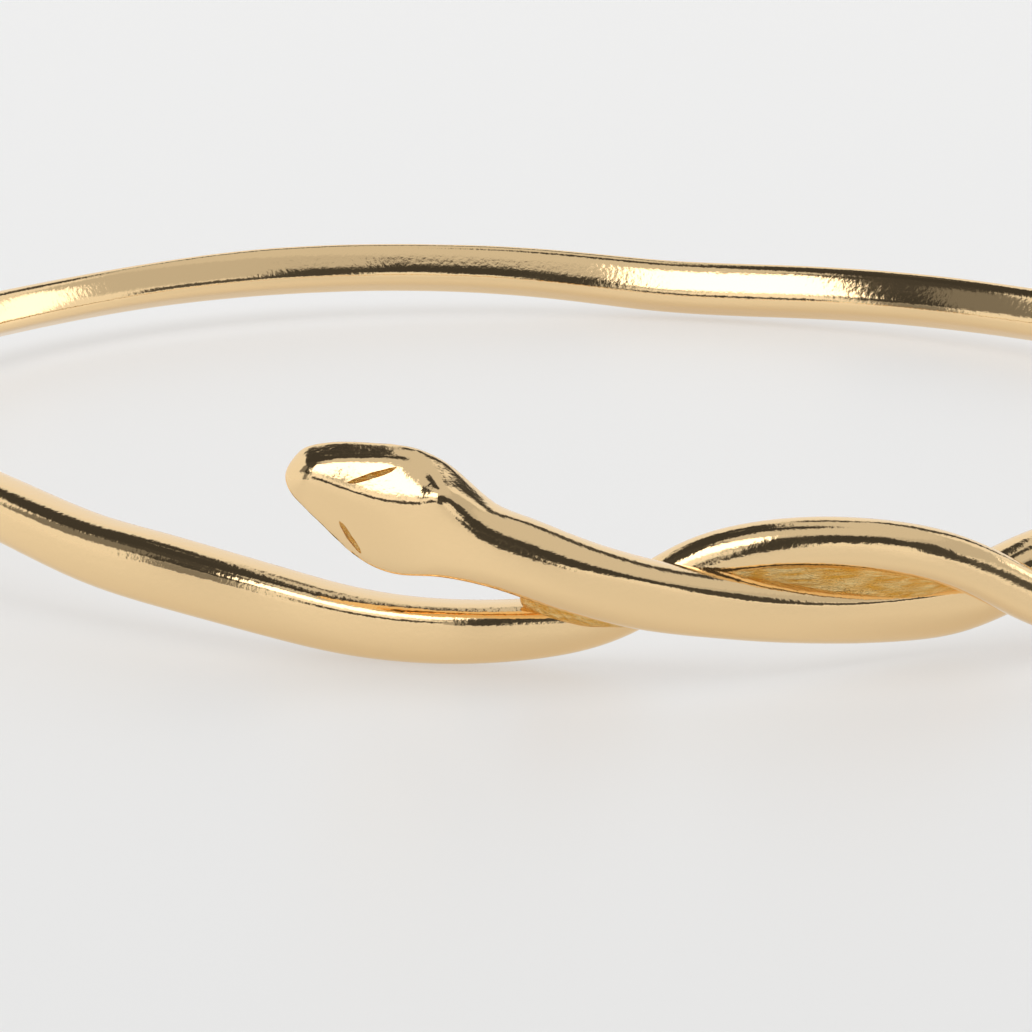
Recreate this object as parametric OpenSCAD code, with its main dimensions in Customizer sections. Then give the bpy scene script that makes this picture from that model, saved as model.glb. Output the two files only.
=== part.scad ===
// Snake bangle: one casting, a single snake whose ends twist once round each other.
// Seen from above, the twist is at the front (-Y), the head lies left of it and the
// tail right of it. The origin is the middle of the ring, at the surface it rests on.
// An angle is measured from the front, positive towards +X, and grows from head to tail.

/* [Ring] */
// Radius of the ring, to the middle of the snake's body
ring_r = 31; // [27:0.5:36]
// Thickness of the body, as a share of the original's
body_scale = 1; // [0.9:0.05:1.15]

/* [Head] */
// Carved eye slits on the head
eye_slits = true; // [true, false]
// Half width of an eye slit at its middle
slit_half_w = 0.11; // [0.06:0.01:0.14]

/* [Fineness] */
// Sides of the body's cross-section
sides = 24; // [12:2:28]
// Rings between two rows of a table
ring_steps = 2; // [2:1:3]

/* [Hidden] */

// Columns of the body table: angle in degrees, distance outside the ring's radius, height
// of the middle, height and radial width of the section, distance of the flat facet from
// the middle (in half widths, 9 is none), squareness (2 is an ellipse), tilt of the
// section's outer side upwards in degrees, and how far the section's widest line lies
// above the middle (in half heights).
ANGLE = 0;
OUT = 1;
MIDDLE_Z = 2;
HEIGHT = 3;
WIDTH = 4;
FACET = 5;
SQUARE = 6;
TILT = 7;
RISE = 8;

// The snake's body, row by row from the nose to the tail
snake = [
    // down the neck and along the lower strand, round the right arm to the back
    [-32.9, 2.25, 6.57, 1.05, 1.20, 0.83, 3.0, -19, 0.00],
    [-32.3, 2.08, 6.53, 1.31, 1.45, 0.94, 5.0, -19, 0.00],
    [-31.5, 1.88, 6.52, 1.80, 1.65, 1.09, 9.0, -19, 0.00],
    [-30.2, 1.72, 6.35, 2.38, 1.85, 1.05, 13.0, -19, 0.00],
    [-28.9, 1.57, 6.06, 3.07, 2.00, 1.11, 14.0, -19, 0.00],
    [-27.5, 1.48, 5.75, 3.76, 2.10, 1.19, 13.0, -19, 0.00],
    [-26.4, 1.41, 5.51, 3.95, 2.20, 1.27, 8.0, -18, 0.00],
    [-25.2, 1.32, 5.28, 3.81, 2.35, 1.30, 6.0, -14, 0.06],
    [-23.6, 1.25, 4.94, 3.19, 2.50, 2.60, 3.2, -7, 0.14],
    [-21.6, 1.30, 4.50, 2.52, 2.55, 9.00, 2.5, -3, 0.08],
    [-19.6, 1.30, 4.23, 2.58, 2.50, 9.00, 2.2, 0, 0.06],
    [-17.2, 1.30, 3.72, 2.50, 2.40, 9.00, 2.1, 0, 0.20],
    [-14.6, 1.20, 3.25, 2.40, 2.30, 9.00, 2.1, 0, 0.42],
    [-11.6, 1.10, 2.82, 2.34, 2.20, 9.00, 2.1, 0, 0.50],
    [-8.2, 0.80, 2.50, 2.22, 2.14, 9.00, 2.1, 0, 0.38],
    [-4.6, 0.50, 2.18, 2.16, 2.10, 9.00, 2.1, 0, 0.32],
    [-1.0, 0.10, 1.92, 2.10, 2.06, 9.00, 2.1, 0, 0.36],
    [2.4, -0.30, 1.71, 2.08, 2.04, 9.00, 2.1, 0, 0.52],
    [5.6, -0.60, 1.60, 2.08, 2.02, 9.00, 2.1, 0, 0.62],
    [8.6, -0.70, 1.66, 2.16, 2.04, 9.00, 2.1, 0, 0.60],
    [11.6, -0.70, 2.18, 2.28, 2.10, 9.00, 2.1, 0, 0.40],
    [15.0, -0.60, 2.90, 2.36, 2.16, 9.00, 2.1, 0, 0.15],
    [20.0, -0.30, 3.25, 2.38, 2.20, 9.00, 2.1, 0, 0.00],
    [28.0, 0.00, 3.35, 2.38, 2.20, 9.00, 2.1, 0, 0.00],
    [40.0, 0.10, 3.20, 2.38, 2.25, 9.00, 2.2, 0, 0.00],
    [54.0, 0.20, 2.95, 2.35, 2.30, 9.00, 2.2, 0, 0.00],
    [68.0, 0.30, 2.65, 2.40, 2.30, 9.00, 2.2, 0, 0.00],
    [82.0, 0.30, 2.35, 2.45, 2.35, 9.00, 2.2, -5, 0.00],
    [96.0, 0.20, 2.05, 2.45, 2.35, 9.00, 2.6, -12, 0.00],
    [109.0, 0.10, 1.85, 2.40, 2.35, 9.00, 2.6, -20, 0.00],
    [121.0, 0.00, 1.70, 2.24, 2.16, 9.00, 3.0, -28, 0.00],
    [132.0, 0.00, 1.65, 2.22, 2.16, 9.00, 3.6, -30, 0.00],
    [142.0, -0.20, 1.58, 2.26, 2.16, 9.00, 3.6, -30, 0.00],
    [151.0, -0.40, 1.40, 2.29, 2.16, 9.00, 3.6, -30, 0.00],
    [159.0, -0.50, 1.35, 2.26, 2.16, 9.00, 3.6, -30, 0.00],
    [166.0, -0.20, 1.66, 2.16, 2.11, 9.00, 3.6, -30, 0.00],
    [173.0, 0.00, 1.96, 2.07, 2.07, 9.00, 3.6, -30, 0.00],
    [180.0, 0.20, 2.12, 2.01, 2.02, 9.00, 3.6, -30, 0.00],
    // round the left arm, under the neck and up over the lower strand
    [187.0, 0.40, 2.22, 2.03, 1.97, 9.00, 3.6, -30, 0.00],
    [196.0, 0.50, 2.28, 2.01, 1.97, 9.00, 3.6, -30, 0.00],
    [206.0, 0.40, 2.20, 1.84, 1.93, 9.00, 3.6, -30, 0.00],
    [217.0, 0.20, 2.12, 1.82, 1.93, 9.00, 3.6, -30, 0.00],
    [228.0, 0.00, 2.25, 1.92, 1.93, 9.00, 3.6, -26, 0.00],
    [240.0, -0.10, 2.50, 2.06, 2.05, 9.00, 2.6, -18, 0.00],
    [253.0, -0.20, 2.85, 2.04, 2.05, 9.00, 2.6, -10, 0.00],
    [266.0, -0.20, 3.20, 2.00, 2.05, 9.00, 2.2, -4, 0.00],
    [279.0, -0.10, 3.40, 2.00, 2.05, 9.00, 2.2, 0, 0.00],
    [290.0, 0.00, 3.48, 2.02, 2.10, 9.00, 2.2, 0, 0.00],
    [299.0, 0.00, 3.45, 2.04, 2.15, 9.00, 2.6, 0, 0.10],
    [306.0, 0.00, 2.88, 2.12, 2.20, 9.00, 2.6, 0, 0.22],
    [311.0, 0.00, 2.38, 2.30, 2.20, 9.00, 2.6, 0, 0.15],
    [315.5, 0.00, 2.18, 2.44, 2.20, 9.00, 2.6, 0, 0.15],
    [320.0, 0.00, 1.92, 2.36, 2.20, 9.00, 2.6, 0, 0.25],
    [324.5, 0.00, 1.58, 2.32, 2.18, 9.00, 2.6, 0, 0.32],
    [329.0, 0.00, 1.18, 2.22, 2.14, 9.00, 2.6, 0, 0.40],
    [333.5, 0.00, 1.04, 2.14, 2.10, 9.00, 2.6, 0, 0.36],
    [337.5, -0.10, 1.08, 2.08, 2.05, 9.00, 2.6, 0, 0.34],
    [341.0, -0.40, 1.20, 1.98, 2.00, 9.00, 2.6, 0, 0.28],
    [344.5, -0.60, 1.46, 1.92, 1.95, 9.00, 2.1, 0, 0.15],
    [347.8, -0.60, 2.24, 1.86, 1.90, 9.00, 2.1, 0, -0.05],
    [350.8, -0.50, 3.48, 1.78, 1.85, 9.00, 2.1, 0, -0.20],
    [354.0, -0.20, 4.10, 1.72, 1.82, 9.00, 2.1, 0, -0.20],
    [357.2, 0.10, 4.36, 1.72, 1.80, 9.00, 2.1, 0, -0.05],
    [360.4, 0.40, 4.38, 1.72, 1.80, 9.00, 2.1, 0, 0.00],
    [363.6, 0.70, 4.20, 1.74, 1.80, 9.00, 2.1, 0, -0.05],
    [366.8, 0.90, 3.76, 1.76, 1.80, 9.00, 2.1, 0, -0.15],
    [370.0, 1.00, 2.88, 1.78, 1.84, 9.00, 2.1, 0, -0.25],
    [373.2, 1.10, 1.85, 1.76, 1.80, 9.00, 2.1, 0, -0.15],
    [377.0, 1.20, 1.20, 1.66, 1.70, 9.00, 2.1, 0, 0.00],
    [382.0, 1.40, 0.86, 1.54, 1.60, 9.00, 2.1, 0, 0.00],
    [388.0, 1.40, 0.74, 1.40, 1.45, 9.00, 2.1, 0, 0.00],
    [394.0, 1.40, 0.66, 1.24, 1.25, 9.00, 2.1, 0, 0.00],
    [399.0, 1.30, 0.58, 1.04, 1.05, 9.00, 2.1, 0, 0.00],
    [403.0, 1.20, 0.50, 0.80, 0.80, 9.00, 2.1, 0, 0.00]];
// Row at the back, where the head's strand and the tail's strand meet
back_row = 37;
tail_row = len(snake) - 1;

// Slope of the flat upper facet on the head, above the outward direction
facet_angle = 46;
// How far from a strand's end its rounding reaches, in table rows, and its rings
end_rows = 1.6;
end_rings = 6;
// Step along the table that gives the body's direction, in rows
nudge = 0.02;

// Lumps of rough metal between the strands. Columns: angle, distance outside the ring's
// radius, height of the middle, half height and half depth.
HALF_HEIGHT = 3;
HALF_DEPTH = 4;
// Half length of the ball at each row, along the ring
lump_half_l = 0.4;

// The recessed web that fills the lens-shaped gap of the twist
web = [
    [-9.6, 0.05, 3.00, 0.30, 0.45],
    [-7.4, 0.05, 3.15, 0.60, 0.60],
    [-5.0, 0.05, 3.25, 0.95, 0.72],
    [-2.5, 0.05, 3.25, 1.15, 0.78],
    [0.5, 0.00, 3.20, 1.20, 0.78],
    [3.5, 0.00, 3.00, 1.05, 0.75],
    [6.0, 0.00, 2.88, 0.62, 0.60],
    [7.8, 0.00, 2.68, 0.34, 0.42],
    [9.2, 0.00, 2.52, 0.15, 0.25]];

// Fused metal where the neck leaves the left arm, and where the tail leaves the right arm
left_wedge = [
    [-18.8, 0.20, 2.45, 0.42, 0.25],
    [-17.2, 0.25, 2.32, 0.64, 0.48],
    [-15.0, 0.35, 2.18, 0.60, 0.62],
    [-13.3, 0.44, 1.98, 0.38, 0.50],
    [-12.2, 0.50, 1.84, 0.16, 0.30]];
right_wedge = [
    [13.5, 0.25, 2.00, 0.65, 0.70],
    [16.5, 0.30, 1.95, 0.55, 0.50],
    [18.2, 0.35, 1.95, 0.45, 0.25]];

// Eye slits on the head. Columns: row of the body table, and angle on the section from
// outwards towards the top of the head, for the front, middle and back of the slit.
SLIT_ROW = 0;
SLIT_ANGLE = 1;
upper_slit = [[3.49, 45.1], [4.31, 69.8], [5.11, 86.5]];
lower_slit = [[3.75, -33.9], [4.37, -46.7], [5.08, -55.3]];
slit_end_half_w = 0.06;

$fn = 12;

// A row of the body table, with one made up past either end so that the curve starts and
// ends on a row
function row(i) =
    i < 0 ? 2 * snake[0] - snake[1] :
    i > tail_row ? 2 * snake[tail_row] - snake[tail_row - 1] : snake[i];

// The row at place u of the table, along a smooth cubic B-spline
function at(u) =
    let (i = max(0, min(floor(u), tail_row - 1)), f = u - i)
    (pow(1 - f, 3) * row(i - 1) + (3 * pow(f, 3) - 6 * f * f + 4) * row(i)
     + (-3 * pow(f, 3) + 3 * f * f + 3 * f + 1) * row(i + 1) + pow(f, 3) * row(i + 2)) / 6;

// The point of a row, in the part's own frame
function place(r) = let (far = ring_r + r[OUT])
    [far * sin(r[ANGLE]), -far * cos(r[ANGLE]), r[MIDDLE_Z]];
function middle(u) = place(at(u));
function unit(v) = v / norm(v);

// How near a rounded polygon's outline at angle q is to its side that faces angle a
function side(q, a, reach, p) = pow(max(0, cos(q - a)) / reach, p);

// Outline of the section at angle q from outwards towards up: four sides and a slanted facet
function outline(r, q) =
    let (w = body_scale * r[WIDTH] / 2, h = body_scale * r[HEIGHT] / 2, p = r[SQUARE])
    pow(side(q, 0, w, p) + side(q, facet_angle, w * r[FACET], p)
        + side(q, 90, h * (1 - r[RISE]), p) + side(q, 180, w, p)
        + side(q, 270, h * (1 + r[RISE]), p), -1 / p);

// Frame of the body at place u: the point on the section's widest line, and the tilted
// directions outwards and up
function frame(u) =
    let (r = at(u), along = unit(middle(u + nudge) - middle(u - nudge)),
         flat = [sin(r[ANGLE]), -cos(r[ANGLE]), 0],
         level = unit(flat - (flat * along) * along), upright = cross(level, along),
         out = cos(r[TILT]) * level + sin(r[TILT]) * upright,
         up = cos(r[TILT]) * upright - sin(r[TILT]) * level)
    [place(r) + body_scale * r[HEIGHT] / 2 * r[RISE] * up, out, up];

// Point on the body's skin at place u and section angle q
function skin_point(u, q, size = 1) =
    let (f = frame(u), d = size * outline(at(u), q))
    f[0] + d * cos(q) * f[1] + d * sin(q) * f[2];

// One ring of the body, square to the body's own direction
function ring(u, size, turn) =
    [for (k = [0:sides - 1]) skin_point(u, turn * 360 * k / sides, size)];

// A strand with a rounded end at its first row and a flat one at its last row
module strand(first, last) {
    turn = sign(last - first);
    long = abs(last - first) - end_rows;
    steps = ceil(long * ring_steps);
    rounded = [for (k = [1:end_rings])
        ring(first + turn * end_rows * (1 - cos(90 * k / end_rings)), sin(90 * k / end_rings), turn)];
    plain = [for (k = [1:steps]) ring(first + turn * (end_rows + k * long / steps), 1, turn)];
    rings = concat(rounded, plain);
    butt_ring = 2 + (len(rings) - 1) * sides;
    tip = [for (k = [0:sides - 1]) [0, 2 + (k + 1) % sides, 2 + k]];
    butt = [for (k = [0:sides - 1]) [1, butt_ring + k, butt_ring + (k + 1) % sides]];
    skin = [for (g = [0:len(rings) - 2], k = [0:sides - 1])
        let (a = 2 + g * sides + k, b = 2 + g * sides + (k + 1) % sides)
        each [[a, b, a + sides], [b, b + sides, a + sides]]];
    points = concat([middle(first), middle(last)], [for (g = rings) each g]);
    polyhedron(points, concat(tip, skin, butt), convexity = 10);
}

// A lump of rough metal between the strands, a run of hulls along its table
module lump(t) {
    for (k = [0:len(t) - 2]) hull() {
        for (r = [t[k], t[k + 1]]) translate(place(r)) rotate([0, 0, r[ANGLE]])
            scale([lump_half_l, r[HALF_DEPTH], r[HALF_HEIGHT]]) sphere(r = 1);
    }
}

// A carved slit, a thin furrow along the head's skin
module slit(t) {
    half = [slit_end_half_w, slit_half_w, slit_end_half_w];
    for (k = [0:len(t) - 2]) hull() {
        for (j = [k, k + 1]) translate(skin_point(t[j][SLIT_ROW], t[j][SLIT_ANGLE]))
            sphere(r = half[j]);
    }
}

module snake_bangle() {
    color("Gold") difference() {
        union() {
            strand(0, back_row);
            strand(tail_row, back_row);
            lump(web);
            lump(left_wedge);
            lump(right_wedge);
        }
        if (eye_slits) {
            slit(upper_slit);
            slit(lower_slit);
        }
    }
}

snake_bangle();
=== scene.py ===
import math

import bpy
import numpy as np
from mathutils import Matrix, Vector


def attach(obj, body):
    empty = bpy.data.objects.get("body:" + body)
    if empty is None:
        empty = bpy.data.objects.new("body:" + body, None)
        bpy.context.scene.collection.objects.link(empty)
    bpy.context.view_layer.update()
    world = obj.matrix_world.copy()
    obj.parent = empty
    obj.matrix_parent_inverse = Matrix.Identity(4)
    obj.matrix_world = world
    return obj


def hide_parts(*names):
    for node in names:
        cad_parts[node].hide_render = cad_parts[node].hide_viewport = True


# Snake bangle: one casting of polished pale gold, lying on its side on a white table.
# Angles are measured from the front (-Y), positive towards +X, and grow from head to tail.

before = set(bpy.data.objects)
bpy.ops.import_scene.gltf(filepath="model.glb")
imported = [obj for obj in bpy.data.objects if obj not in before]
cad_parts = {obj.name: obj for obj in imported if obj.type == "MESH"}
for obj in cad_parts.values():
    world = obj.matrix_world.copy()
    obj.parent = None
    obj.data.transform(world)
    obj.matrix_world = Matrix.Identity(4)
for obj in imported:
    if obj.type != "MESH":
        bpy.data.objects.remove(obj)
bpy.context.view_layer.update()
mm = 0.001


# Node trees

class Bench:
    # a node tree while it is being wired
    def __init__(self, tree):
        self.tree = tree

    def add(self, kind, settings={}, sockets={}, output=0):
        # any node: its settings first, then the values or links of its sockets
        node = self.tree.nodes.new(kind)
        for name, value in settings.items():
            setattr(node, name, value)
        for key, value in sockets.items():
            if isinstance(value, Wire):
                self.tree.links.new(value.socket, node.inputs[key])
            else:
                node.inputs[key].default_value = value
        return Wire(self, node.outputs[output]) if node.outputs else None


class Wire:
    # an output socket that can stand in an expression
    def __init__(self, bench, socket):
        self.bench = bench
        self.socket = socket

    def twin(self, output):
        # another output of the same node
        return Wire(self.bench, self.socket.node.outputs[output])

    def math(self, operation, *others):
        values = dict(enumerate((self, *others)))
        return self.bench.add("ShaderNodeMath", {"operation": operation}, values)

    def flipped(self, operation, other):
        # for sums that start with a plain number
        return self.bench.add("ShaderNodeMath", {"operation": operation}, {0: other, 1: self})

    def __add__(self, other):
        return self.math("ADD", other)

    def __sub__(self, other):
        return self.math("SUBTRACT", other)

    def __rsub__(self, other):
        return self.flipped("SUBTRACT", other)

    def __mul__(self, other):
        return self.math("MULTIPLY", other)

    def __truediv__(self, other):
        return self.math("DIVIDE", other)

    def __rtruediv__(self, other):
        return self.flipped("DIVIDE", other)

    def __pow__(self, other):
        return self.math("POWER", other)

    __radd__ = __add__
    __rmul__ = __mul__

    def scaled(self, factor):
        # a vector times a number
        return self.bench.add("ShaderNodeVectorMath", {"operation": "SCALE"}, {0: self, "Scale": factor})

    def plus(self, vector):
        return self.bench.add("ShaderNodeVectorMath", {"operation": "ADD"}, {0: self, 1: vector})

    def clamped(self):
        return self.math("MAXIMUM", 0.0).math("MINIMUM", 1.0)

    def mixed(self, first, second):
        # two colours, mixed by this share of the second
        return self.bench.add("ShaderNodeMix", {"data_type": "RGBA"}, {0: self, 6: first, 7: second},
                              output=2)


def setInput(modifier, name, value):
    # a modifier's input is set by its socket's identifier
    for item in modifier.node_group.interface.items_tree:
        if item.item_type == "SOCKET" and item.in_out == "INPUT" and item.name == name:
            modifier[item.identifier] = value


# The snake's body

snakeBody = {
    "ringRadius": 31.0,    # mm, to the middle of the body
    "facetAngle": 46.0,    # slope of the flat facet on the head, above the outward direction
    "noFacet": 9.0,        # a facet this far off takes nothing away
    "ellipse": 2.0,        # squareness of a plain ellipse
    "endRows": 1.6,        # rows of the table that the rounding of either end takes
    "endRings": 26,
    "sides": 96,
    "ringGap": 0.33,       # mm between two rings of the mesh
    "headGap": 0.14,       # mm between two rings on the head
    "headRows": 8,         # rows of the table that the head takes
    "slopeStep": 0.02,     # rows either way over which the path's direction is measured
    "paceStep": 0.01,      # rows over which its length is measured
    "weldGap": 0.0005,     # mm, points nearer than this become one
    "sharpAngle": 40.0,    # degrees between two faces that shows as an edge
    "waveHeight": 0.012,   # mm, slow waves left by hand finishing
    "waveSize": 3.5,       # mm
    "seed": 4.0,
}

# angle, distance outside the ring, height of the middle, height and width of the section (mm),
# distance of the flat facet (in half widths, 9 is off), squareness (2 is an ellipse), tilt of
# the section's outer side upwards (degrees), and how far its widest line lies above the middle
# (in half heights)
bodyRows = [
    # down the neck and along the lower strand, round the right arm to the back
    (-32.9, 2.25, 6.57, 1.05, 1.20, 0.83, 3.0, -19, 0.00),
    (-32.3, 2.08, 6.53, 1.31, 1.45, 0.94, 5.0, -19, 0.00),
    (-31.5, 1.88, 6.52, 1.80, 1.65, 1.09, 9.0, -19, 0.00),
    (-30.2, 1.72, 6.35, 2.38, 1.85, 1.05, 13.0, -19, 0.00),
    (-28.9, 1.57, 6.06, 3.07, 2.00, 1.11, 14.0, -19, 0.00),
    (-27.5, 1.48, 5.75, 3.76, 2.10, 1.19, 13.0, -19, 0.00),
    (-26.4, 1.41, 5.51, 3.95, 2.20, 1.27, 8.0, -18, 0.00),
    (-25.2, 1.32, 5.28, 3.81, 2.35, 1.30, 6.0, -14, 0.06),
    (-23.6, 1.25, 4.94, 3.19, 2.50, 2.60, 3.2, -7, 0.14),
    (-21.6, 1.30, 4.50, 2.52, 2.55, 9.00, 2.5, -3, 0.08),
    (-19.6, 1.30, 4.23, 2.58, 2.50, 9.00, 2.2, 0, 0.06),
    (-17.2, 1.30, 3.72, 2.50, 2.40, 9.00, 2.1, 0, 0.20),
    (-14.6, 1.20, 3.25, 2.40, 2.30, 9.00, 2.1, 0, 0.42),
    (-11.6, 1.10, 2.82, 2.34, 2.20, 9.00, 2.1, 0, 0.50),
    (-8.2, 0.80, 2.50, 2.22, 2.14, 9.00, 2.1, 0, 0.38),
    (-4.6, 0.50, 2.18, 2.16, 2.10, 9.00, 2.1, 0, 0.32),
    (-1.0, 0.10, 1.92, 2.10, 2.06, 9.00, 2.1, 0, 0.36),
    (2.4, -0.30, 1.71, 2.08, 2.04, 9.00, 2.1, 0, 0.52),
    (5.6, -0.60, 1.60, 2.08, 2.02, 9.00, 2.1, 0, 0.62),
    (8.6, -0.70, 1.66, 2.16, 2.04, 9.00, 2.1, 0, 0.60),
    (11.6, -0.70, 2.18, 2.28, 2.10, 9.00, 2.1, 0, 0.40),
    (15.0, -0.60, 2.90, 2.36, 2.16, 9.00, 2.1, 0, 0.15),
    (20.0, -0.30, 3.25, 2.38, 2.20, 9.00, 2.1, 0, 0.00),
    (28.0, 0.00, 3.35, 2.38, 2.20, 9.00, 2.1, 0, 0.00),
    (40.0, 0.10, 3.20, 2.38, 2.25, 9.00, 2.2, 0, 0.00),
    (54.0, 0.20, 2.95, 2.35, 2.30, 9.00, 2.2, 0, 0.00),
    (68.0, 0.30, 2.65, 2.40, 2.30, 9.00, 2.2, 0, 0.00),
    (82.0, 0.30, 2.35, 2.45, 2.35, 9.00, 2.2, -5, 0.00),
    (96.0, 0.20, 2.05, 2.45, 2.35, 9.00, 2.6, -12, 0.00),
    (109.0, 0.10, 1.85, 2.40, 2.35, 9.00, 2.6, -20, 0.00),
    (121.0, 0.00, 1.70, 2.24, 2.16, 9.00, 3.0, -28, 0.00),
    (132.0, 0.00, 1.65, 2.22, 2.16, 9.00, 3.6, -30, 0.00),
    (142.0, -0.20, 1.58, 2.26, 2.16, 9.00, 3.6, -30, 0.00),
    (151.0, -0.40, 1.40, 2.29, 2.16, 9.00, 3.6, -30, 0.00),
    (159.0, -0.50, 1.35, 2.26, 2.16, 9.00, 3.6, -30, 0.00),
    (166.0, -0.20, 1.66, 2.16, 2.11, 9.00, 3.6, -30, 0.00),
    (173.0, 0.00, 1.96, 2.07, 2.07, 9.00, 3.6, -30, 0.00),
    (180.0, 0.20, 2.12, 2.01, 2.02, 9.00, 3.6, -30, 0.00),
    # round the left arm, under the neck and up over the lower strand
    (187.0, 0.40, 2.22, 2.03, 1.97, 9.00, 3.6, -30, 0.00),
    (196.0, 0.50, 2.28, 2.01, 1.97, 9.00, 3.6, -30, 0.00),
    (206.0, 0.40, 2.20, 1.84, 1.93, 9.00, 3.6, -30, 0.00),
    (217.0, 0.20, 2.12, 1.82, 1.93, 9.00, 3.6, -30, 0.00),
    (228.0, 0.00, 2.25, 1.92, 1.93, 9.00, 3.6, -26, 0.00),
    (240.0, -0.10, 2.50, 2.06, 2.05, 9.00, 2.6, -18, 0.00),
    (253.0, -0.20, 2.85, 2.04, 2.05, 9.00, 2.6, -10, 0.00),
    (266.0, -0.20, 3.20, 2.00, 2.05, 9.00, 2.2, -4, 0.00),
    (279.0, -0.10, 3.40, 2.00, 2.05, 9.00, 2.2, 0, 0.00),
    (290.0, 0.00, 3.48, 2.02, 2.10, 9.00, 2.2, 0, 0.00),
    (299.0, 0.00, 3.45, 2.04, 2.15, 9.00, 2.6, 0, 0.10),
    (306.0, 0.00, 2.88, 2.12, 2.20, 9.00, 2.6, 0, 0.22),
    (311.0, 0.00, 2.38, 2.30, 2.20, 9.00, 2.6, 0, 0.15),
    (315.5, 0.00, 2.18, 2.44, 2.20, 9.00, 2.6, 0, 0.15),
    (320.0, 0.00, 1.92, 2.36, 2.20, 9.00, 2.6, 0, 0.25),
    (324.5, 0.00, 1.58, 2.32, 2.18, 9.00, 2.6, 0, 0.32),
    (329.0, 0.00, 1.18, 2.22, 2.14, 9.00, 2.6, 0, 0.40),
    (333.5, 0.00, 1.04, 2.14, 2.10, 9.00, 2.6, 0, 0.36),
    (337.5, -0.10, 1.08, 2.08, 2.05, 9.00, 2.6, 0, 0.34),
    (341.0, -0.40, 1.20, 1.98, 2.00, 9.00, 2.6, 0, 0.28),
    (344.5, -0.60, 1.46, 1.92, 1.95, 9.00, 2.1, 0, 0.15),
    (347.8, -0.60, 2.24, 1.86, 1.90, 9.00, 2.1, 0, -0.05),
    (350.8, -0.50, 3.48, 1.78, 1.85, 9.00, 2.1, 0, -0.20),
    (354.0, -0.20, 4.10, 1.72, 1.82, 9.00, 2.1, 0, -0.20),
    (357.2, 0.10, 4.36, 1.72, 1.80, 9.00, 2.1, 0, -0.05),
    (360.4, 0.40, 4.38, 1.72, 1.80, 9.00, 2.1, 0, 0.00),
    (363.6, 0.70, 4.20, 1.74, 1.80, 9.00, 2.1, 0, -0.05),
    (366.8, 0.90, 3.76, 1.76, 1.80, 9.00, 2.1, 0, -0.15),
    (370.0, 1.00, 2.88, 1.78, 1.84, 9.00, 2.1, 0, -0.25),
    (373.2, 1.10, 1.85, 1.76, 1.80, 9.00, 2.1, 0, -0.15),
    (377.0, 1.20, 1.20, 1.66, 1.70, 9.00, 2.1, 0, 0.00),
    (382.0, 1.40, 0.86, 1.54, 1.60, 9.00, 2.1, 0, 0.00),
    (388.0, 1.40, 0.74, 1.40, 1.45, 9.00, 2.1, 0, 0.00),
    (394.0, 1.40, 0.66, 1.24, 1.25, 9.00, 2.1, 0, 0.00),
    (399.0, 1.30, 0.58, 1.04, 1.05, 9.00, 2.1, 0, 0.00),
    (403.0, 1.20, 0.50, 0.80, 0.80, 9.00, 2.1, 0, 0.00)]
backRow = 37               # where the head's strand and the tail's strand meet
tailRow = len(bodyRows) - 1
bodyTable = [np.array(row) for row in bodyRows]


def splineRow(rows, place):
    # the row at a place between the rows, along a smooth cubic B-spline
    rows = [2 * rows[0] - rows[1], *rows, 2 * rows[-1] - rows[-2]]
    i = min(max(int(place), 0), len(rows) - 4)
    f = place - i
    weights = ((1 - f) ** 3, 3 * f ** 3 - 6 * f * f + 4, -3 * f ** 3 + 3 * f * f + 3 * f + 1, f ** 3)
    return sum(w * r for w, r in zip(weights, rows[i:i + 4])) / 6


def rowPoint(row):
    angle, outside, height = row[:3]
    far = snakeBody["ringRadius"] + outside
    turn = math.radians(angle)
    return np.array((far * math.sin(turn), -far * math.cos(turn), height)) * mm


def unit(vector):
    return vector / np.linalg.norm(vector)


def pathFrame(rows, place):
    # the row, the middle of its section, and the section's directions outwards and upwards
    step = snakeBody["slopeStep"]
    row = splineRow(rows, place)
    along = unit(rowPoint(splineRow(rows, place + step)) - rowPoint(splineRow(rows, place - step)))
    turn = math.radians(row[0])
    flat = np.array((math.sin(turn), -math.cos(turn), 0.0))
    outward = unit(flat - flat.dot(along) * along)
    return row, rowPoint(row), outward, np.cross(outward, along)


def bodyFrame(place):
    # the same for the snake's body, whose section is tilted and has its widest line off the middle
    row, middle, outward, upward = pathFrame(bodyTable, place)
    high, wide, facet, square, tilt, rise = row[3:]
    tilt = math.radians(tilt)
    outward, upward = (math.cos(tilt) * outward + math.sin(tilt) * upward,
                       math.cos(tilt) * upward - math.sin(tilt) * outward)
    halves = (high / 2 * (1 - rise), high / 2 * (1 + rise), wide / 2)
    return middle, middle + rise * high / 2 * mm * upward, outward, upward, halves, facet, square


def strandPlaces(first, last):
    # places of the rings, as (place, share of the full section)
    turn = 1 if last > first else -1
    endRows = snakeBody["endRows"]
    places = []
    for k in range(snakeBody["endRings"] + 1):
        a = math.pi / 2 * k / snakeBody["endRings"]
        places.append((first + turn * endRows * (1 - math.cos(a)), math.sin(a)))
    place = first + turn * endRows
    while (last - place) * turn > 0:
        here = rowPoint(splineRow(bodyTable, place))
        ahead = rowPoint(splineRow(bodyTable, place + turn * snakeBody["paceStep"]))
        perRow = np.linalg.norm(ahead - here) / snakeBody["paceStep"]
        gap = snakeBody["headGap"] if place < snakeBody["headRows"] else snakeBody["ringGap"]
        place += turn * gap * mm / perRow
        if (last - place) * turn > 0:
            places.append((place, 1.0))
    places.append((last, 1.0))
    return places


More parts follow.
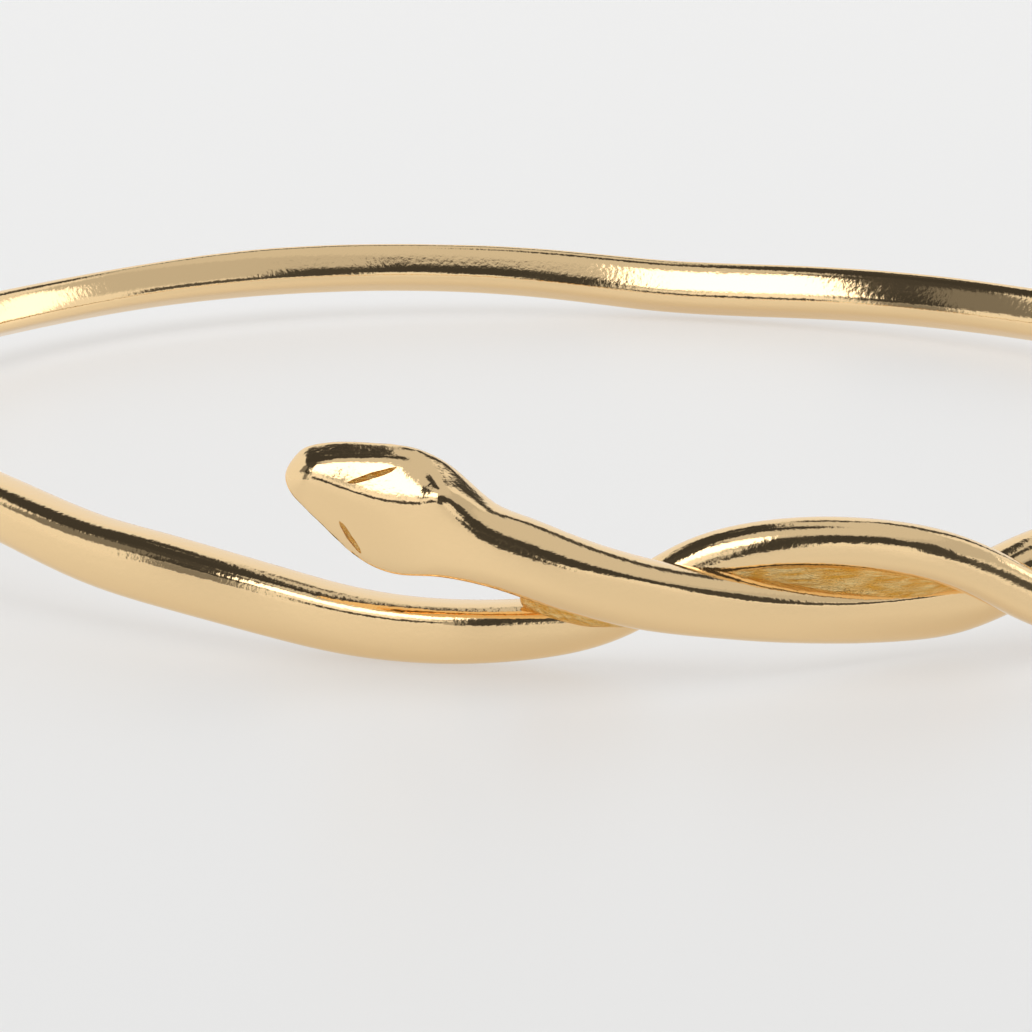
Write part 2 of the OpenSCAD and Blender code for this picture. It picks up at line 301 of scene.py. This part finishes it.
def pathMesh(name, points, numbers):
    # a line of points whose attributes carry the section along it
    mesh = bpy.data.meshes.new(name)
    mesh.from_pydata([tuple(p) for p in points], [(i, i + 1) for i in range(len(points) - 1)], [])
    for key, values in numbers.items():
        values = np.array(values, np.float32)
        vector = values.ndim == 2
        layer = mesh.attributes.new(key, "FLOAT_VECTOR" if vector else "FLOAT", "POINT")
        layer.data.foreach_set("vector" if vector else "value", values.ravel())
    piece = bpy.data.objects.new(name, mesh)
    bpy.context.scene.collection.objects.link(piece)
    return piece


sectionNames = ("outward", "upward", "halfUp", "halfDown", "halfWidth", "facet", "square", "fullness")


def sweptPath(name, sections):
    # sections are a point of the path and the values of sectionNames: directions, half sizes in mm,
    # facet, squareness, and the share of the full size
    numbers = {key: [section[k + 1] for section in sections] for k, key in enumerate(sectionNames)}
    return pathMesh(name, [section[0] for section in sections], numbers)


def strandPath(name, first, last):
    sections = []
    for place, fullness in strandPlaces(first, last):
        _, widest, outward, upward, halves, facet, square = bodyFrame(place)
        sections.append((widest, outward, upward, *halves, facet, square, fullness))
    if last > first:
        sections.reverse()     # every sweep runs the same way round, so its faces point outwards
    return sweptPath(name, sections)


def buildSweepTree():
    # sweeps a section along a path: a rounded box with one slanted facet, with slow waves
    tree = bpy.data.node_groups.new("sweptBody", "GeometryNodeTree")
    face = tree.interface
    face.new_socket("Geometry", in_out="OUTPUT", socket_type="NodeSocketGeometry")
    face.new_socket("Path", in_out="INPUT", socket_type="NodeSocketGeometry")
    face.new_socket("Sides", in_out="INPUT", socket_type="NodeSocketInt")
    for name in ("Facet angle", "Weld gap", "Wave height", "Wave size", "Seed", "Rawness"):
        face.new_socket(name, in_out="INPUT", socket_type="NodeSocketFloat")
    face.new_socket("Material", in_out="INPUT", socket_type="NodeSocketMaterial")
    bench = Bench(tree)
    given = bench.add("NodeGroupInput")

    def number(name):
        return bench.add("GeometryNodeInputNamedAttribute", {"data_type": "FLOAT"}, {"Name": name})

    def vector(name):
        return bench.add("GeometryNodeInputNamedAttribute", {"data_type": "FLOAT_VECTOR"}, {"Name": name})

    # the angle round the section, kept on the profile before it is swept
    circle = bench.add("GeometryNodeCurvePrimitiveCircle", {}, {"Resolution": given.twin("Sides")})
    angle = bench.add("GeometryNodeInputIndex") * (2 * math.pi) / given.twin("Sides")
    profile = bench.add("GeometryNodeStoreNamedAttribute", {"data_type": "FLOAT", "domain": "POINT"},
                        {"Geometry": circle, "Name": "sectionAngle", "Value": angle})
    path = bench.add("GeometryNodeMeshToCurve", {}, {"Mesh": given.twin("Path")})
    path = bench.add("GeometryNodeStoreNamedAttribute", {"data_type": "FLOAT_VECTOR", "domain": "POINT"},
                     {"Geometry": path, "Name": "middle", "Value": bench.add("GeometryNodeInputPosition")})
    skin = bench.add("GeometryNodeCurveToMesh", {},
                     {"Curve": path, "Profile Curve": profile, "Fill Caps": True})

    q = number("sectionAngle")
    power = number("square")

    def side(turn, reach):
        # how near the outline at this angle is to a side that faces the angle turn
        return (((q - turn).math("COSINE").math("MAXIMUM", 0.0)) / reach) ** power

    wide = number("halfWidth")
    whole = (side(0.0, wide) + side(given.twin("Facet angle"), wide * number("facet"))
             + side(math.pi / 2, number("halfUp")) + side(math.pi, wide)
             + side(math.pi * 1.5, number("halfDown")))
    radius = whole ** (-1.0 / power) * mm

    outward = q.math("COSINE")
    upward = q.math("SINE")
    spot = vector("middle").plus(vector("outward").scaled(outward * radius))
    spot = spot.plus(vector("upward").scaled(upward * radius))
    wave = bench.add("ShaderNodeTexNoise", {"noise_dimensions": "4D"},
                     {"Vector": spot, "W": given.twin("Seed"), "Scale": 1.0 / given.twin("Wave size"),
                      "Detail": 1.0})
    swell = (wave - 0.5) * 2.0 * given.twin("Wave height")
    radius = (radius + swell) * number("fullness")
    place = vector("middle").plus(vector("outward").scaled(outward * radius))
    place = place.plus(vector("upward").scaled(upward * radius))
    skin = bench.add("GeometryNodeSetPosition", {}, {"Geometry": skin, "Position": place})
    skin = bench.add("GeometryNodeMergeByDistance", {},
                     {"Geometry": skin, "Distance": given.twin("Weld gap")})
    skin = bench.add("GeometryNodeStoreNamedAttribute", {"data_type": "FLOAT", "domain": "FACE"},
                     {"Geometry": skin, "Name": "rawness", "Value": given.twin("Rawness")})
    skin = bench.add("GeometryNodeRealizeInstances", {}, {"Geometry": skin})
    skin = bench.add("GeometryNodeSetMaterial", {}, {"Geometry": skin, "Material": given.twin("Material")})
    bench.add("NodeGroupOutput", {}, {"Geometry": skin})
    return tree


def makeMaterial(name):
    material = bpy.data.materials.new(name)
    material.use_nodes = True
    material.node_tree.nodes.clear()
    return material, Bench(material.node_tree)


def madePlain(piece):
    # the evaluated shape as the piece's own mesh, without its modifiers
    evaluated = piece.evaluated_get(bpy.context.evaluated_depsgraph_get())
    shape = bpy.data.meshes.new_from_object(evaluated)
    piece.modifiers.clear()
    piece.data = shape
    return piece


def sweep(piece, tree, inputs):
    # sweeps the path, and leaves the piece a plain mesh
    modifier = piece.modifiers.new("sweep", "NODES")
    modifier.node_group = tree
    for name, value in inputs.items():
        setInput(modifier, name, value)
    return madePlain(piece)


print("snake bangle: node tree for the body")
sweepTree = buildSweepTree()

paleGold, goldBench = makeMaterial("paleGold")

bodyInputs = {
    "Sides": snakeBody["sides"],
    "Facet angle": math.radians(snakeBody["facetAngle"]),
    "Weld gap": snakeBody["weldGap"] * mm,
    "Wave height": snakeBody["waveHeight"] * mm,
    "Wave size": snakeBody["waveSize"] * mm,
    "Seed": snakeBody["seed"],
    "Rawness": 0.0,
    "Material": paleGold,
}

print("snake bangle: the two strands")
headStrand = sweep(strandPath("headStrand", 0, backRow), sweepTree, bodyInputs)
tailStrand = sweep(strandPath("tailStrand", tailRow, backRow), sweepTree, bodyInputs)


# Rough metal left as cast between the strands

roughMetal = {
    "sides": 48,
    "stepsPerRow": 10,     # rings from one row of a table to the next
    "endSteps": 8,
    "endLength": 0.4,      # mm, rounding of either end
    "waveHeight": 0.06,    # mm, lumps
    "waveSize": 0.9,       # mm
    "seed": 11.0,
}

# angle, distance outside the ring, height of the middle, half height and half depth (mm)
webRows = [
    (-9.6, 0.05, 3.00, 0.30, 0.45),
    (-7.4, 0.05, 3.15, 0.60, 0.60),
    (-5.0, 0.05, 3.25, 0.95, 0.72),
    (-2.5, 0.05, 3.25, 1.15, 0.78),
    (0.5, 0.00, 3.20, 1.20, 0.78),
    (3.5, 0.00, 3.00, 1.05, 0.75),
    (6.0, 0.00, 2.88, 0.62, 0.60),
    (7.8, 0.00, 2.68, 0.34, 0.42),
    (9.2, 0.00, 2.52, 0.15, 0.25)]
leftWedgeRows = [
    (-18.8, 0.20, 2.45, 0.42, 0.25),
    (-17.2, 0.25, 2.32, 0.64, 0.48),
    (-15.0, 0.35, 2.18, 0.60, 0.62),
    (-13.3, 0.44, 1.98, 0.38, 0.50),
    (-12.2, 0.50, 1.84, 0.16, 0.30)]
rightWedgeRows = [
    (13.5, 0.25, 2.00, 0.65, 0.70),
    (16.5, 0.30, 1.95, 0.55, 0.50),
    (18.2, 0.35, 1.95, 0.45, 0.25)]


def lumpPath(name, rows):
    # a rounded end, the rows, and the other rounded end, as (place, mm beyond it, share of the size)
    table = [np.array(row) for row in rows]
    last = len(table) - 1
    ends = [math.pi / 2 * k / roughMetal["endSteps"] for k in range(roughMetal["endSteps"] + 1)]
    places = [(0, -roughMetal["endLength"] * math.cos(a), math.sin(a)) for a in ends]
    places += [(k / roughMetal["stepsPerRow"], 0.0, 1.0) for k in range(1, last * roughMetal["stepsPerRow"])]
    places += [(last, roughMetal["endLength"] * math.cos(a), math.sin(a)) for a in reversed(ends)]
    sections = []
    for place, beyond, fullness in places:
        row, middle, outward, upward = pathFrame(table, place)
        halfHigh, halfDeep = row[3:]
        along = np.cross(upward, outward)
        sections.append((middle + along * beyond * mm, outward, upward, halfHigh, halfHigh, halfDeep,
                         snakeBody["noFacet"], snakeBody["ellipse"], fullness))
    sections.reverse()
    return sweptPath(name, sections)


print("snake bangle: rough metal between the strands")
roughInputs = {
    **bodyInputs,
    "Sides": roughMetal["sides"],
    "Wave height": roughMetal["waveHeight"] * mm,
    "Wave size": roughMetal["waveSize"] * mm,
    "Seed": roughMetal["seed"],
    "Rawness": 1.0,
}
lumps = [sweep(lumpPath(name, rows), sweepTree, roughInputs)
         for name, rows in (("web", webRows), ("leftWedge", leftWedgeRows), ("rightWedge", rightWedgeRows))]


# Carved eye slits

eyeSlits = {
    "halfWidth": 0.11,     # mm, at the middle of a slit
    "endHalfWidth": 0.06,
    "sides": 16,
    "steps": 24,
    "tipSteps": 3,         # steps over which either end comes to its point
    "waveHeight": 0.004,   # mm
    "waveSize": 0.1,       # mm
}

# row of the body's table, and angle on the section from outwards towards the top of the head
upperSlit = [(3.49, 45.1), (4.31, 69.8), (5.11, 86.5)]
lowerSlit = [(3.75, -33.9), (4.37, -46.7), (5.08, -55.3)]


def sectionRadius(halves, facet, power, q):
    # the outline that the node tree draws, for one angle of the section
    up, down, wide = halves
    sides = ((0.0, wide), (math.pi / 2, up), (math.pi, wide), (math.pi * 1.5, down),
             (math.radians(snakeBody["facetAngle"]), wide * facet))
    whole = sum((max(0.0, math.cos(q - turn)) / reach) ** power for turn, reach in sides)
    return whole ** (-1 / power)


def skinPoint(place, degrees):
    # a point on the body's skin
    _, widest, outward, upward, halves, facet, square = bodyFrame(place)
    q = math.radians(degrees)
    far = sectionRadius(halves, facet, square, q) * mm
    return widest + far * math.cos(q) * outward + far * math.sin(q) * upward


def slitPath(name, marks):
    # a thin tube along the skin, whose lower half cuts the furrow
    steps, widening = eyeSlits["steps"], eyeSlits["halfWidth"] - eyeSlits["endHalfWidth"]
    places = np.linspace(0, 1, steps + 1)
    marked = np.linspace(0, 1, len(marks))
    rows = np.interp(places, marked, [m[0] for m in marks])
    turns = np.interp(places, marked, [m[1] for m in marks])
    points = [skinPoint(r, t) for r, t in zip(rows, turns)]
    sections = []
    for k, place in enumerate(places):
        along = unit(points[min(k + 1, steps)] - points[max(k - 1, 0)])
        outward = points[k] - bodyFrame(rows[k])[0]
        outward = unit(outward - outward.dot(along) * along)
        half = eyeSlits["endHalfWidth"] + widening * math.sin(math.pi * place)
        fullness = min(1.0, math.sqrt(min(k, steps - k) / eyeSlits["tipSteps"]))
        sections.append((points[k], outward, np.cross(outward, along), half, half, half,
                         snakeBody["noFacet"], snakeBody["ellipse"], fullness))
    sections.reverse()
    return sweptPath(name, sections)


print("snake bangle: eye slits")
slitInputs = {
    **roughInputs,
    "Sides": eyeSlits["sides"],
    "Wave height": eyeSlits["waveHeight"] * mm,
    "Wave size": eyeSlits["waveSize"] * mm,
}
slits = [sweep(slitPath(name, marks), sweepTree, slitInputs)
         for name, marks in (("upperSlit", upperSlit), ("lowerSlit", lowerSlit))]


# One casting: the strands and the rough metal joined, and the slits cut

def cutOrJoin(piece, others, operation):
    for other in others:
        modifier = piece.modifiers.new(operation.lower(), "BOOLEAN")
        modifier.operation = operation
        modifier.solver = "MANIFOLD"
        modifier.object = other


print("snake bangle: one casting")
casting = headStrand
casting.name = "snake_casting"
cutOrJoin(casting, [tailStrand, *lumps], "UNION")
cutOrJoin(casting, slits, "DIFFERENCE")
madePlain(casting)
for piece in (tailStrand, *lumps, *slits):
    bpy.data.objects.remove(piece)
casting.data.name = casting.name
casting.data.set_sharp_from_angle(angle=math.radians(snakeBody["sharpAngle"]))
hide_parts("snake_bangle")
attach(casting, "root")


# Finish: polished pale gold, and the same metal rough as cast where the tools did not reach, its pale
# streaks partly a painted highlight

goldFinish = {
    "polished": (1.0, 0.73, 0.40, 1.0),
    "raw": (0.84, 0.44, 0.07, 1.0),
    # pale streaks of the rough metal: partly its own streaky tone, partly a painted highlight
    "rawPaleSheen": (1.0, 0.78, 0.38, 1.0),
    "polishedRoughness": 0.09,
    "rawRoughness": 0.22,
    "raggedSize": 0.22,      # mm, unevenness that makes the reflections ragged
    "raggedHeight": 0.009,   # mm
    "streakLength": 1.5,     # mm, streaks of the rough metal
    "streakWidth": 0.16,     # mm
    "streakHeight": 16.0,    # times the ragged height
    "streakContrast": 3.2,
    "streakMiddle": 0.55,
}


def finishGold(bench, look):
    coords = bench.add("ShaderNodeTexCoord").twin("Object")
    rawness = bench.add("ShaderNodeAttribute", {"attribute_name": "rawness"}).twin("Fac")
    ragged = bench.add("ShaderNodeTexNoise", {}, {"Vector": coords, "Scale": 1 / (look["raggedSize"] * mm),
                                                  "Detail": 2.0, "Roughness": 0.5})
    lengthwise, across = 1 / (look["streakLength"] * mm), 1 / (look["streakWidth"] * mm)
    stretched = bench.add("ShaderNodeMapping", {}, {"Vector": coords, "Scale": (lengthwise, across, across)})
    streaks = bench.add("ShaderNodeTexNoise", {}, {"Vector": stretched, "Scale": 1.0, "Detail": 5.0,
                                                   "Roughness": 0.65})
    height = ragged + streaks * rawness * look["streakHeight"]
    bump = bench.add("ShaderNodeBump", {}, {"Strength": 1.0, "Distance": look["raggedHeight"] * mm,
                                            "Height": height})
    # along its streaks the rough metal's colour swings between deep and pale; the pale streaks are partly a
    # painted highlight
    paleStreakSheen = ((streaks - look["streakMiddle"]) * look["streakContrast"] + 0.5).clamped()
    tone = rawness.mixed(look["polished"], paleStreakSheen.mixed(look["raw"], look["rawPaleSheen"]))
    roughness = look["polishedRoughness"] + (look["rawRoughness"] - look["polishedRoughness"]) * rawness
    shader = bench.add("ShaderNodeBsdfPrincipled", {}, {"Base Color": tone, "Metallic": 1.0,
                                                        "Roughness": roughness, "Normal": bump})
    bench.add("ShaderNodeOutputMaterial", {}, {"Surface": shader})


finishGold(goldBench, goldFinish)


# White table and soft studio light

studio = {
    "tableSize": 6.0,                        # m
    "tableColor": (0.34, 0.34, 0.34, 1.0),
    "tableGlow": (0.45, 0.45, 0.448, 1.0),   # the table is lit through from below
    "tableRoughness": 0.4,
    "skyTint": (1.0, 1.0, 1.0, 1.0),
    "around": 0.86,                          # brightness of the plain white surroundings
    "edge": 4.0,                             # degrees, softness of every border
    "lampPower": 4.6,                        # W, a wide lamp that only brightens the table
    "lampColor": (1.0, 0.985, 0.96),
    "lampSize": 1.2,                         # m
    "lampHeight": 1.1,                       # m
}

# light boxes and dark gaps, painted over one another: brightness, middle azimuth, half width,
# middle elevation and half height in degrees
studioPatches = [
    (0.64, 0.0, 180.0, 90.0, 42.0),      # overhead
    (0.55, 25.0, 85.0, 39.0, 12.0),      # overhead, on the camera's side
    (0.05, -177.0, 10.0, 55.0, 9.0),     # dark gap over the backdrop, lower towards the right
    (0.05, -162.0, 10.0, 51.0, 10.0),
    (0.05, -172.0, 12.0, 70.0, 8.0),
    (0.05, 0.0, 180.0, 90.0, 9.0),       # dark spot straight above
    (0.05, 158.0, 8.0, 49.0, 6.0),
    (0.05, 146.0, 6.0, 40.0, 6.0),
    (0.05, 134.0, 8.0, 44.0, 4.0),
    (0.05, 136.0, 6.0, 30.0, 11.0),
    (0.05, -120.0, 42.0, 66.0, 18.0),    # dark room on the left
    (0.06, -80.0, 22.0, 50.0, 12.0),
    (0.20, -90.0, 12.0, 34.0, 12.0),
    (0.05, -68.0, 11.0, 33.0, 10.0),
    (0.22, -67.0, 9.0, 10.0, 13.0),
    (1.00, -42.0, 10.0, 26.0, 9.0),      # key light and its glow
    (2.40, -43.0, 19.0, 46.0, 11.0),
    (0.05, -38.0, 12.0, 11.0, 6.0),      # dark room round the camera
    (0.05, -16.0, 8.0, 22.0, 22.0),
    (0.05, -2.0, 8.0, 30.0, 17.0),
    (0.05, 12.0, 12.0, 33.0, 14.0),
    (0.06, 32.0, 12.0, 24.0, 17.0),
    (0.08, 56.0, 14.0, 15.0, 8.0),
    (1.80, 99.0, 9.0, 18.0, 14.0),       # light on the right
]


def buildStudio(look, patches):
    world = bpy.data.worlds.new("softStudio")
    bpy.context.scene.world = world
    world.use_nodes = True
    world.node_tree.nodes.clear()
    bench = Bench(world.node_tree)
    split = bench.add("ShaderNodeSeparateXYZ", {}, {0: bench.add("ShaderNodeTexCoord").twin("Generated")})
    x, y, z = (split.twin(axis) for axis in "XYZ")
    azimuth = x.math("ARCTAN2", y * -1.0) * (180 / math.pi)
    elevation = z.math("ARCSINE") * (180 / math.pi)

    def within(value, middle, half):
        # 1 inside, 0 outside, with a soft border
        gap = (value - middle).math("ABSOLUTE")
        return (0.5 - (gap - half) / look["edge"]).clamped()

    light = look["around"]
    for brightness, turn, halfTurn, rise, halfRise in patches:
        mask = within(elevation, rise, halfRise)
        if halfTurn < 180:
            # azimuths count the short way round from the middle of the patch
            mask = mask * within((azimuth - turn + 540.0).math("MODULO", 360.0), 180.0, halfTurn)
        light = light * (1.0 - mask) + brightness * mask
    sky = bench.add("ShaderNodeBackground", {}, {"Color": look["skyTint"], "Strength": light})
    bench.add("ShaderNodeOutputWorld", {}, {"Surface": sky})


def buildTable(look):
    half = look["tableSize"] / 2
    mesh = bpy.data.meshes.new("table")
    corners = [(-half, -half, 0), (half, -half, 0), (half, half, 0), (-half, half, 0)]
    mesh.from_pydata(corners, [], [(0, 1, 2, 3)])
    table = bpy.data.objects.new("table", mesh)
    bpy.context.scene.collection.objects.link(table)
    material, bench = makeMaterial("whiteTable")
    shader = bench.add("ShaderNodeBsdfPrincipled", {}, {"Base Color": look["tableColor"],
                                                        "Roughness": look["tableRoughness"],
                                                        "Emission Color": look["tableGlow"],
                                                        "Emission Strength": 1.0})
    bench.add("ShaderNodeOutputMaterial", {}, {"Surface": shader})
    mesh.materials.append(material)


def addLamp(look):
    # a wide lamp straight above that the polished metal does not mirror
    data = bpy.data.lights.new("tableLamp", "AREA")
    data.shape = "DISK"
    data.size = look["lampSize"]
    data.energy = look["lampPower"]
    data.color = look["lampColor"]
    lamp = bpy.data.objects.new("tableLamp", data)
    lamp.location = (0, 0, look["lampHeight"])
    lamp.visible_glossy = False
    bpy.context.scene.collection.objects.link(lamp)


print("snake bangle: table and light")
addLamp(studio)
buildStudio(studio, studioPatches)
buildTable(studio)


# Camera, low and close in front, a little left of the twist

camera = {
    "place": (-43.1, -159.7, 38.4),   # mm
    "heading": 14.0,                  # degrees, right of straight on
    "pitch": 13.87,                   # degrees, below the horizon
    "roll": 1.0,
    "lens": 146.5,                    # mm
    "sensor": 36.0,                   # mm wide
    "nearest": 0.001,                 # m, what the camera sees
    "farthest": 20.0,                 # m
}


def placeCamera(look):
    data = bpy.data.cameras.new("camera")
    data.lens = look["lens"]
    data.sensor_width = look["sensor"]
    data.clip_start = look["nearest"]
    data.clip_end = look["farthest"]
    viewer = bpy.data.objects.new("camera", data)
    bpy.context.scene.collection.objects.link(viewer)
    heading, pitch = math.radians(look["heading"]), math.radians(look["pitch"])
    level = math.cos(pitch)
    ahead = Vector((math.sin(heading) * level, math.cos(heading) * level, -math.sin(pitch)))
    turn = ahead.to_track_quat("-Z", "Y").to_matrix().to_4x4()
    place = Matrix.Translation(Vector(look["place"]) * mm)
    viewer.matrix_world = place @ turn @ Matrix.Rotation(math.radians(look["roll"]), 4, "Z")
    bpy.context.scene.camera = viewer


placeCamera(camera)
bpy.context.scene.view_settings.view_transform = "Standard"

print("snake bangle: done")
